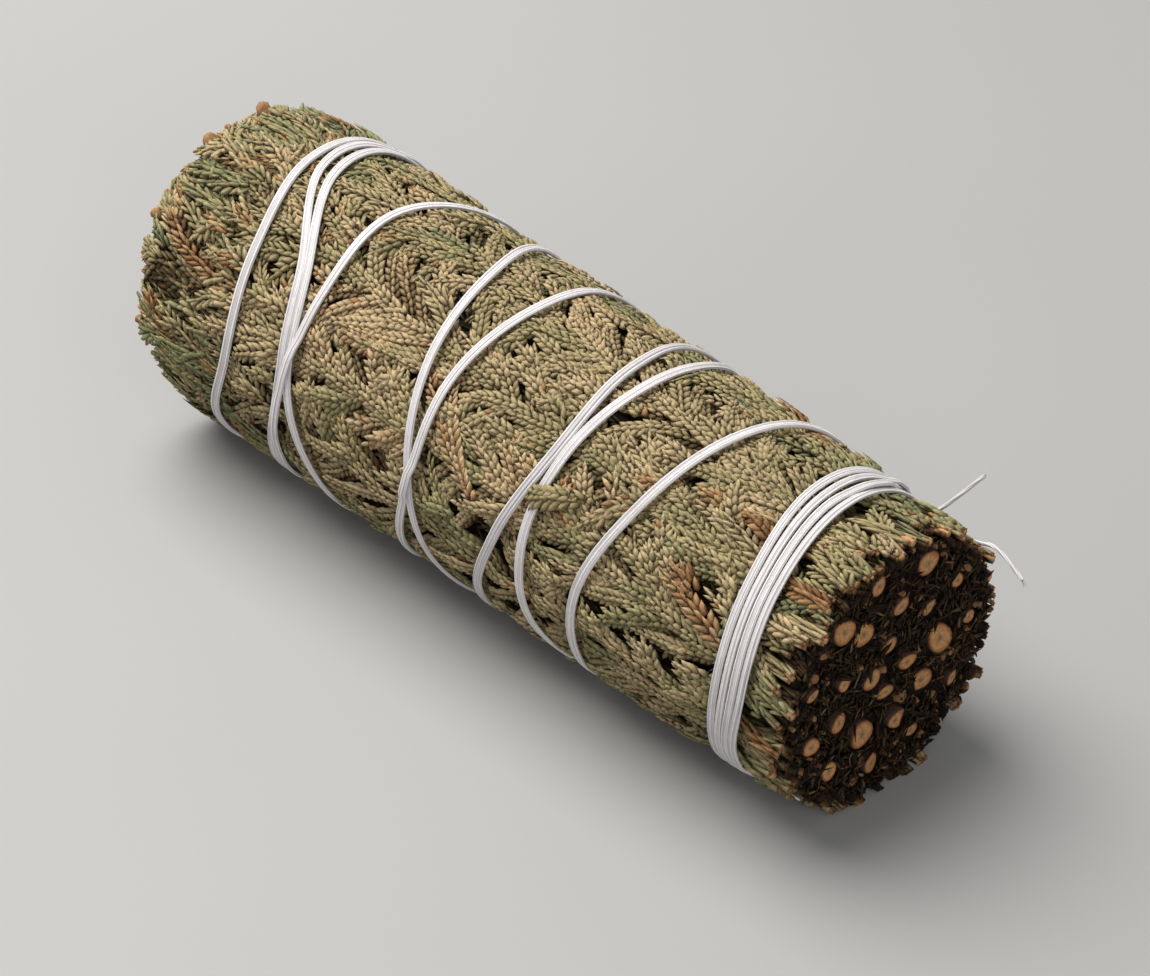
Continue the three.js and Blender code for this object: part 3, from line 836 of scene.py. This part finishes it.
def settle(foliage):
    """The leafy end is trimmed a little aslant, and the surface and the thread press the underside flat."""
    for vert in foliage.bm.verts:
        x, _, z = vert.co
        vert.co.x = max(x, -55) - 0.09 * (z - 15) * min(1, max(0, (-47 - x) / 6))
        limit = THREAD_ROOM if -43.8 < x < 46 else 0.02
        if z < limit + PRESSED:
            vert.co.z = limit + PRESSED * math.exp((z - limit - PRESSED) / PRESSED)


for index in range(OUTER["count"]):
    foliage = Foliage(100 + index)
    lay_spray(foliage, index)
    lay_stray_twigs(foliage, index)
    lay_marked_twigs(foliage, index)
    lay_leafy_brush(foliage, index)
    lay_rim_twigs(foliage, index)
    lay_butt_strips(foliage, index)
    wrap(foliage, OUTER, index)
    add_heart(foliage, OUTER, index, 1.9)
    add_shreds(foliage, OUTER, index, 16.6)
    add_leafy_tips(foliage, OUTER, index, 17.4)
    settle(foliage)
    name = f"sprig_{OUTER['first'] + index:02d}"
    finished(f"{name}_foliage", foliage.bm, [dried_leaf], f"{name}_leaves", foliage.marks)


# The inner sprigs
# Thirteen more sprigs fill the inside. Only their two ends show: slivers of leaf between the stems at the
# butt, dark with painted shade, and trimmed tips at the leafy end.
for ring in (MIDDLE, CENTRE):
    for index in range(ring["count"]):
        foliage = Foliage(200 + ring["first"] + index)
        add_heart(foliage, ring, index, 0)
        add_shreds(foliage, ring, index, ring["outside"])
        add_leafy_tips(foliage, ring, index, ring["outside"])
        settle(foliage)
        name = f"sprig_{ring['first'] + index:02d}"
        finished(f"{name}_foliage", foliage.bm, [dried_leaf], f"{name}_leaves", foliage.marks)


# The thread
# A white cotton thread of three fine strands side by side is wound 13 times round: two tight turns near
# the butt, out to the leafy end, back over itself and into the band again, where two ends stand free.
# Each row is a turn: where it crosses these five angles, by x
SEEN_ANGLES = (120, 80, 40, 0, -40)
TURNS = (
    (46.2, 47.9, 46.6, 44.8, 44.0),
    (45.0, 46.6, 45.4, 43.5, 42.8),
    (15.2, 13.8, 14.6, 16.0, 15.3),
    (-2.5, -5.0, -8.3, -11.3, -15.5),
    (-22.3, -26.0, -29.8, -39.0, -42.0),
    (-41.8, -37.4, -38.9, -43.4, -44.6),
    (-31.4, -27.8, -30.8, -41.2, -43.2),
    (-30.1, -27.2, -26.6, -27.9, -24.5),
    (-8.6, -4.7, -4.2, -2.9, -3.0),
    (4.8, 9.5, 13.3, 12.5, 11.2),
    (21.3, 22.8, 26.7, 29.3, 31.0),
    (42.6, 44.0, 43.0, 40.8, 40.2),
    (43.8, 45.3, 44.2, 42.2, 41.5),
)
STRAND_RADIUS = 0.25


def thread_crossings():
    """The whole thread as angle and x, from its start at the butt's rim, turn after turn."""
    points = [(142, 53.6), (132, 49.5)]
    for turn, places in enumerate(TURNS):
        points += [(angle - 360 * turn, x) for angle, x in zip(SEEN_ANGLES, places)]
    return points + [(-62 - 360 * (len(TURNS) - 1), 43.2)]


CROSSINGS = thread_crossings()


def thread_x(angle):
    """Where the thread is at an angle: an eased curve through the marked crossings."""
    after = next((i for i, point in enumerate(CROSSINGS) if point[0] <= angle), len(CROSSINGS) - 1)
    after = max(1, after)
    (a0, x0), (a1, x1) = CROSSINGS[max(0, after - 2)], CROSSINGS[after - 1]
    (a2, x2), (a3, x3) = CROSSINGS[after], CROSSINGS[min(len(CROSSINGS) - 1, after + 1)]
    span = a1 - a2
    t = (a1 - angle) / span
    leave = (x2 - x0) / (a0 - a2) * span
    arrive = (x3 - x1) / (a1 - a3) * span
    return (
        (2 * t**3 - 3 * t**2 + 1) * x1 + (t**3 - 2 * t**2 + t) * leave
        + (3 * t**2 - 2 * t**3) * x2 + (t**3 - t**2) * arrive
    )


FINE_ANGLES = np.arange(142, CROSSINGS[-1][0] - 1, -2.0)
FINE_X = np.array([thread_x(angle) for angle in FINE_ANGLES])


def turns_at(angle):
    """Where every turn crosses this angle."""
    passes = [angle + 360 * turn for turn in range(-14, 2)]
    passes = [p for p in passes if FINE_ANGLES[-1] <= p <= FINE_ANGLES[0]]
    return [thread_at(p, FINE_X) for p in passes]


def climbing_lifts():
    """Each turn climbs over the turns that are already there where it crosses them."""
    in_a_turn = round(360 / (FINE_ANGLES[0] - FINE_ANGLES[1]))
    lifts = np.zeros(len(FINE_ANGLES))
    for here in range(in_a_turn, len(FINE_ANGLES)):
        below = slice(here % in_a_turn, here - in_a_turn + 1, in_a_turn)
        t = np.clip((np.abs(FINE_X[below] - FINE_X[here]) - 0.5) / 0.7, 0, 1)
        lifts[here] = ((lifts[below] + 0.5) * (1 - t * t * (3 - 2 * t))).max()
    return lifts


FINE_LIFTS = climbing_lifts()


def thread_at(angle, values):
    return float(np.interp(-angle, -FINE_ANGLES, values))


def on_leaves(x, angle, lift):
    _, y, z = place(x, math.radians(angle), full_radius(x) + 0.32 + lift)
    return Vector((x, y, max(z, STRAND_RADIUS + 0.03)))


def cotton_material():
    """White cotton with the twist of its strands drawn as painted shade in the grooves, by the strand's own
    UV map.
    """
    material, tree, shader = new_material("white_cotton", 0.85)
    shader.inputs["Sheen Weight"].default_value = 0.15
    uv = node_of(tree, "ShaderNodeUVMap")
    mapping = node_of(tree, "ShaderNodeMapping")
    mapping.inputs["Rotation"].default_value = (0, 0, math.radians(32))
    tree.links.new(uv.outputs["UV"], mapping.inputs["Vector"])
    wave = node_of(tree, "ShaderNodeTexWave")
    wave.inputs["Scale"].default_value = 2.2
    wave.inputs["Distortion"].default_value = 1.5
    wave.inputs["Detail"].default_value = 3
    tree.links.new(mapping.outputs["Vector"], wave.inputs["Vector"])
    # Painted shade: the wave darkens the grooves of the twist to grey.
    ply_groove_shade = colour_ramp(tree, [
        (0.0, (0.44, 0.42, 0.44)), (0.4, (0.64, 0.62, 0.63)), (1, (0.74, 0.72, 0.72)),
    ])
    tree.links.new(wave.outputs["Fac"], ply_groove_shade.inputs["Fac"])
    dust = noise_on_object(tree, 500, 4)
    soiled = colour_ramp(tree, [(0.3, (0.9, 0.88, 0.86)), (0.7, (1.0, 1.0, 1.0))])
    tree.links.new(dust.outputs["Fac"], soiled.inputs["Fac"])
    colour = multiplied(tree, ply_groove_shade.outputs["Color"], soiled.outputs["Color"])
    tree.links.new(colour, shader.inputs["Base Color"])
    bumped(tree, wave.outputs["Fac"], shader, 0.5, 0.00008)
    return material


white_cotton = cotton_material()


def strand(path, thinner=lambda x: 1):
    """A strand of thread as a tube along its path, in millimetres, with a UV map along and around it."""
    line = bpy.data.curves.new("strand", "CURVE")
    line.dimensions = "3D"
    line.bevel_depth = STRAND_RADIUS
    line.bevel_resolution = 1
    line.use_fill_caps = True
    spline = line.splines.new("POLY")
    spline.points.add(len(path) - 1)
    for point, co in zip(spline.points, path):
        point.co = (*co, 1)
        point.radius = thinner(co[0])
    carrier = bpy.data.objects.new("strand", line)
    mesh = bpy.data.meshes.new_from_object(carrier)
    bpy.data.objects.remove(carrier)
    return mesh


def in_band(x):
    """0 in the wide turns and 1 in the tight band near the butt."""
    t = min(1, max(0, (x - 30) / 10))
    return t * t * (3 - 2 * t)


def strand_path(side):
    """One of the three strands, which lie side by side, closer in the band, and now and then part."""
    path = []
    for angle in np.arange(138 if side == 0 else 118, CROSSINGS[-1][0] - 1, -4.0):
        x = thread_at(angle, FINE_X)
        parting = 0.04 * math.sin(angle * 0.021)
        apart = 0.4 - 0.05 * in_band(x) + parting + 0.03 * math.sin(angle * 0.0077 + side)
        climb = 0.04 * math.sin(angle * 0.013 + side) + (0.03 if side == 0 else 0)
        climb -= 0.75 * min(1, max(0, (angle - 122) / 8))
        path.append(on_leaves(x + side * apart, angle, thread_at(angle, FINE_LIFTS) + climb))
    return path


# How far the leaves swell between the turns, and how deep and wide each turn sinks into them
SWELL, SINK, SINK_WIDTH = 0.3, 0.75, 1.4


def press_leaves():
    """The tight thread sinks into the leaves, which swell between its turns."""
    turns = np.full((360, len(TURNS) + 2), 99.0)
    for degree in range(360):
        places = turns_at(degree - 180)
        turns[degree, :len(places)] = places
    for number in range(OUTER["first"], OUTER["first"] + OUTER["count"]):
        mesh = bpy.data.objects[f"sprig_{number:02d}_foliage"].data
        points = np.zeros(len(mesh.vertices) * 3)
        mesh.vertices.foreach_get("co", points)
        x, y, z = (points.reshape(-1, 3) / MM - np.array(BUNDLE_AT)).T
        height = full_radius(x) - 1.3
        angle = np.arctan2(-y, z - height)
        radius = np.hypot(y, z - height)
        degree = np.floor(np.degrees(angle) + 180).astype(int) % 360
        nearest = np.abs(x[:, None] - turns[degree]).min(1)
        # The second marked twig lies over the thread, so it isn't pressed
        over_thread = (abs(x - 15) < 6) & (abs(angle - 0.98) < 0.2) & (radius > full_radius(x) + 0.45)
        outside = np.clip((radius - 14) / 4, 0, 1) * ~over_thread
        shift = (SWELL - SINK * np.exp(-((nearest / SINK_WIDTH) ** 2))) * outside
        shift *= np.clip((x + 52) / 5, 0, 1) * np.clip((52 - x) / 5, 0, 1) * (z > 2.5)
        room = 0.03 + 0.8 * np.clip(nearest - 0.75, 0, 1)
        proud = np.clip(radius - full_radius(x) - room, 0, 9) * (nearest > 1.75)
        under = full_radius(x) + room + 0.25 * proud
        shift = np.where(outside > 0, np.minimum(shift, under - radius), 0)
        y -= shift * np.sin(angle)
        z += shift * np.cos(angle)
        moved = (np.stack([x, y, z], -1) + np.array(BUNDLE_AT)) * MM
        mesh.vertices.foreach_set("co", moved.reshape(-1))


press_leaves()

thread_bm = bmesh.new()
for side in (-1, 0, 1):
    thread_bm.from_mesh(strand(strand_path(side), lambda x: 1 - 0.12 * in_band(x) - 0.3 * (x > 48)))


def free_end(steps):
    """A single end of thread along an eased curve through its points."""
    path = []
    for i in range(len(steps) - 1):
        before, start = steps[max(0, i - 1)], steps[i]
        end, after = steps[i + 1], steps[min(len(steps) - 1, i + 2)]
        for part in range(6):
            t = part / 6
            path.append(
                start * (2 * t**3 - 3 * t**2 + 1) + (end - before) * 0.5 * (t**3 - 2 * t**2 + t)
                + end * (3 * t**2 - 2 * t**3) + (after - start) * 0.5 * (t**3 - t**2)
            )
    return path + [steps[-1]]


springing = free_end([on_leaves(43.2, -56, 0), on_leaves(45.6, -58, 0.3), Vector((50, 18.6, 32.1))])
running = free_end([
    on_leaves(43.2, -56, 0), on_leaves(49.6, -66, 0.1), on_leaves(54.2, -62, 0.3), Vector((58.6, 16, 23.6)),
])
for path in (springing, running):
    thread_bm.from_mesh(strand(path))


# The thread's lint
# Fine cotton fibres stand off the strands all along, and the two cut ends are frayed.
lint_dice = random.Random(7)
LINTY = 0.45
FRAYED_FIBRES = 9


def cotton_fibre():
    """A fibre of thickness and length 1, standing on its root."""
    bm = bmesh.new()
    bmesh.ops.create_cone(bm, cap_ends=True, segments=3, radius1=1, radius2=0.4, depth=1)
    bmesh.ops.translate(bm, verts=bm.verts, vec=(0, 0, 0.5))
    return as_part(bm)["mesh"]


FIBRE = cotton_fibre()


def add_fibre(at, direction, length, thick):
    aim = direction.to_track_quat("Z", "Y").to_matrix().to_4x4()
    if at.z + direction.z * length > 0.1:
        put(thread_bm, FIBRE, Matrix.Translation(at) @ aim @ sized(thick, thick, length))


def somewhere():
    return Vector([lint_dice.gauss(0, 1) for _ in range(3)]).normalized()


for side in (-1, 1):
    for point in strand_path(side):
        if lint_dice.random() < LINTY:
            outward = Vector((0, point.y, point.z - 17)).normalized()
            direction = (outward + somewhere() * 0.9).normalized()
            add_fibre(point, direction, lint_dice.uniform(0.5, 1.5), 0.012)
for path in (springing, running):
    end = (path[-1] - path[-3]).normalized()
    for _ in range(FRAYED_FIBRES):
        direction = (end + somewhere() * 0.35).normalized()
        add_fibre(path[-1] - end * 0.3, direction, lint_dice.uniform(0.6, 1.3), 0.03)

finished("thread_strands", thread_bm, [white_cotton], "thread")


# Floor, light and camera
# A plain pale floor, a large soft window light from the leafy end, a weak one that fills the butt's
# shadow, and a long lens that looks down along the bundle onto its butt.
def plain_floor():
    material, tree, shader = new_material("pale_floor", 0.6)
    clouds = noise_on_object(tree, 6, 2)
    colours = colour_ramp(tree, [(0.3, (0.3, 0.297, 0.293)), (0.7, (0.32, 0.316, 0.311))])
    tree.links.new(clouds.outputs["Fac"], colours.inputs["Fac"])
    tree.links.new(colours.outputs["Color"], shader.inputs["Base Color"])
    bm = bmesh.new()
    bmesh.ops.create_grid(bm, x_segments=4, y_segments=4, size=3)
    mesh = bpy.data.meshes.new("floor")
    bm.to_mesh(mesh)
    bm.free()
    mesh.materials.append(material)
    floor = bpy.data.objects.new("floor", mesh)
    bpy.context.scene.collection.objects.link(floor)


def soft_light(name, place_at, size, power, colour):
    lamp = bpy.data.lights.new(name, "AREA")
    lamp.shape = "DISK"
    lamp.size = size
    lamp.energy = power
    lamp.color = colour
    light = bpy.data.objects.new(name, lamp)
    light.location = place_at
    light.rotation_euler = (-Vector(place_at)).to_track_quat("-Z", "Y").to_euler()
    bpy.context.scene.collection.objects.link(light)


plain_floor()
soft_light("window", (-0.33, -0.04, 0.655), 0.7, 9.7, (1, 0.98, 0.95))
soft_light("fill", (0.6, -0.33, 0.4), 0.6, 2, (1, 0.98, 0.96))

world = bpy.data.worlds.new("studio")
world.use_nodes = True
world.node_tree.nodes["Background"].inputs["Color"].default_value = (0.9, 0.92, 0.95, 1)
world.node_tree.nodes["Background"].inputs["Strength"].default_value = 0.34
bpy.context.scene.world = world
bpy.context.scene.view_settings.view_transform = "Standard"

turn, rise, away = math.radians(46.32), math.radians(38), 0.46
back = Vector((math.sin(turn) * math.cos(rise), -math.cos(turn) * math.cos(rise), math.sin(rise)))
right = Vector((math.cos(turn), math.sin(turn), 0))
up = back.cross(right)
looked_at = Vector((0, 0, 0.0164)) + right * 0.00221 - up * 0.00336 + BUNDLE_AT * MM
lens = bpy.data.cameras.new("camera")
lens.lens = 121.1
lens.clip_start = 0.01
camera = bpy.data.objects.new("camera", lens)
camera.location = looked_at + back * away
camera.rotation_euler = back.to_track_quat("Z", "Y").to_euler()
bpy.context.scene.collection.objects.link(camera)
bpy.context.scene.camera = camera
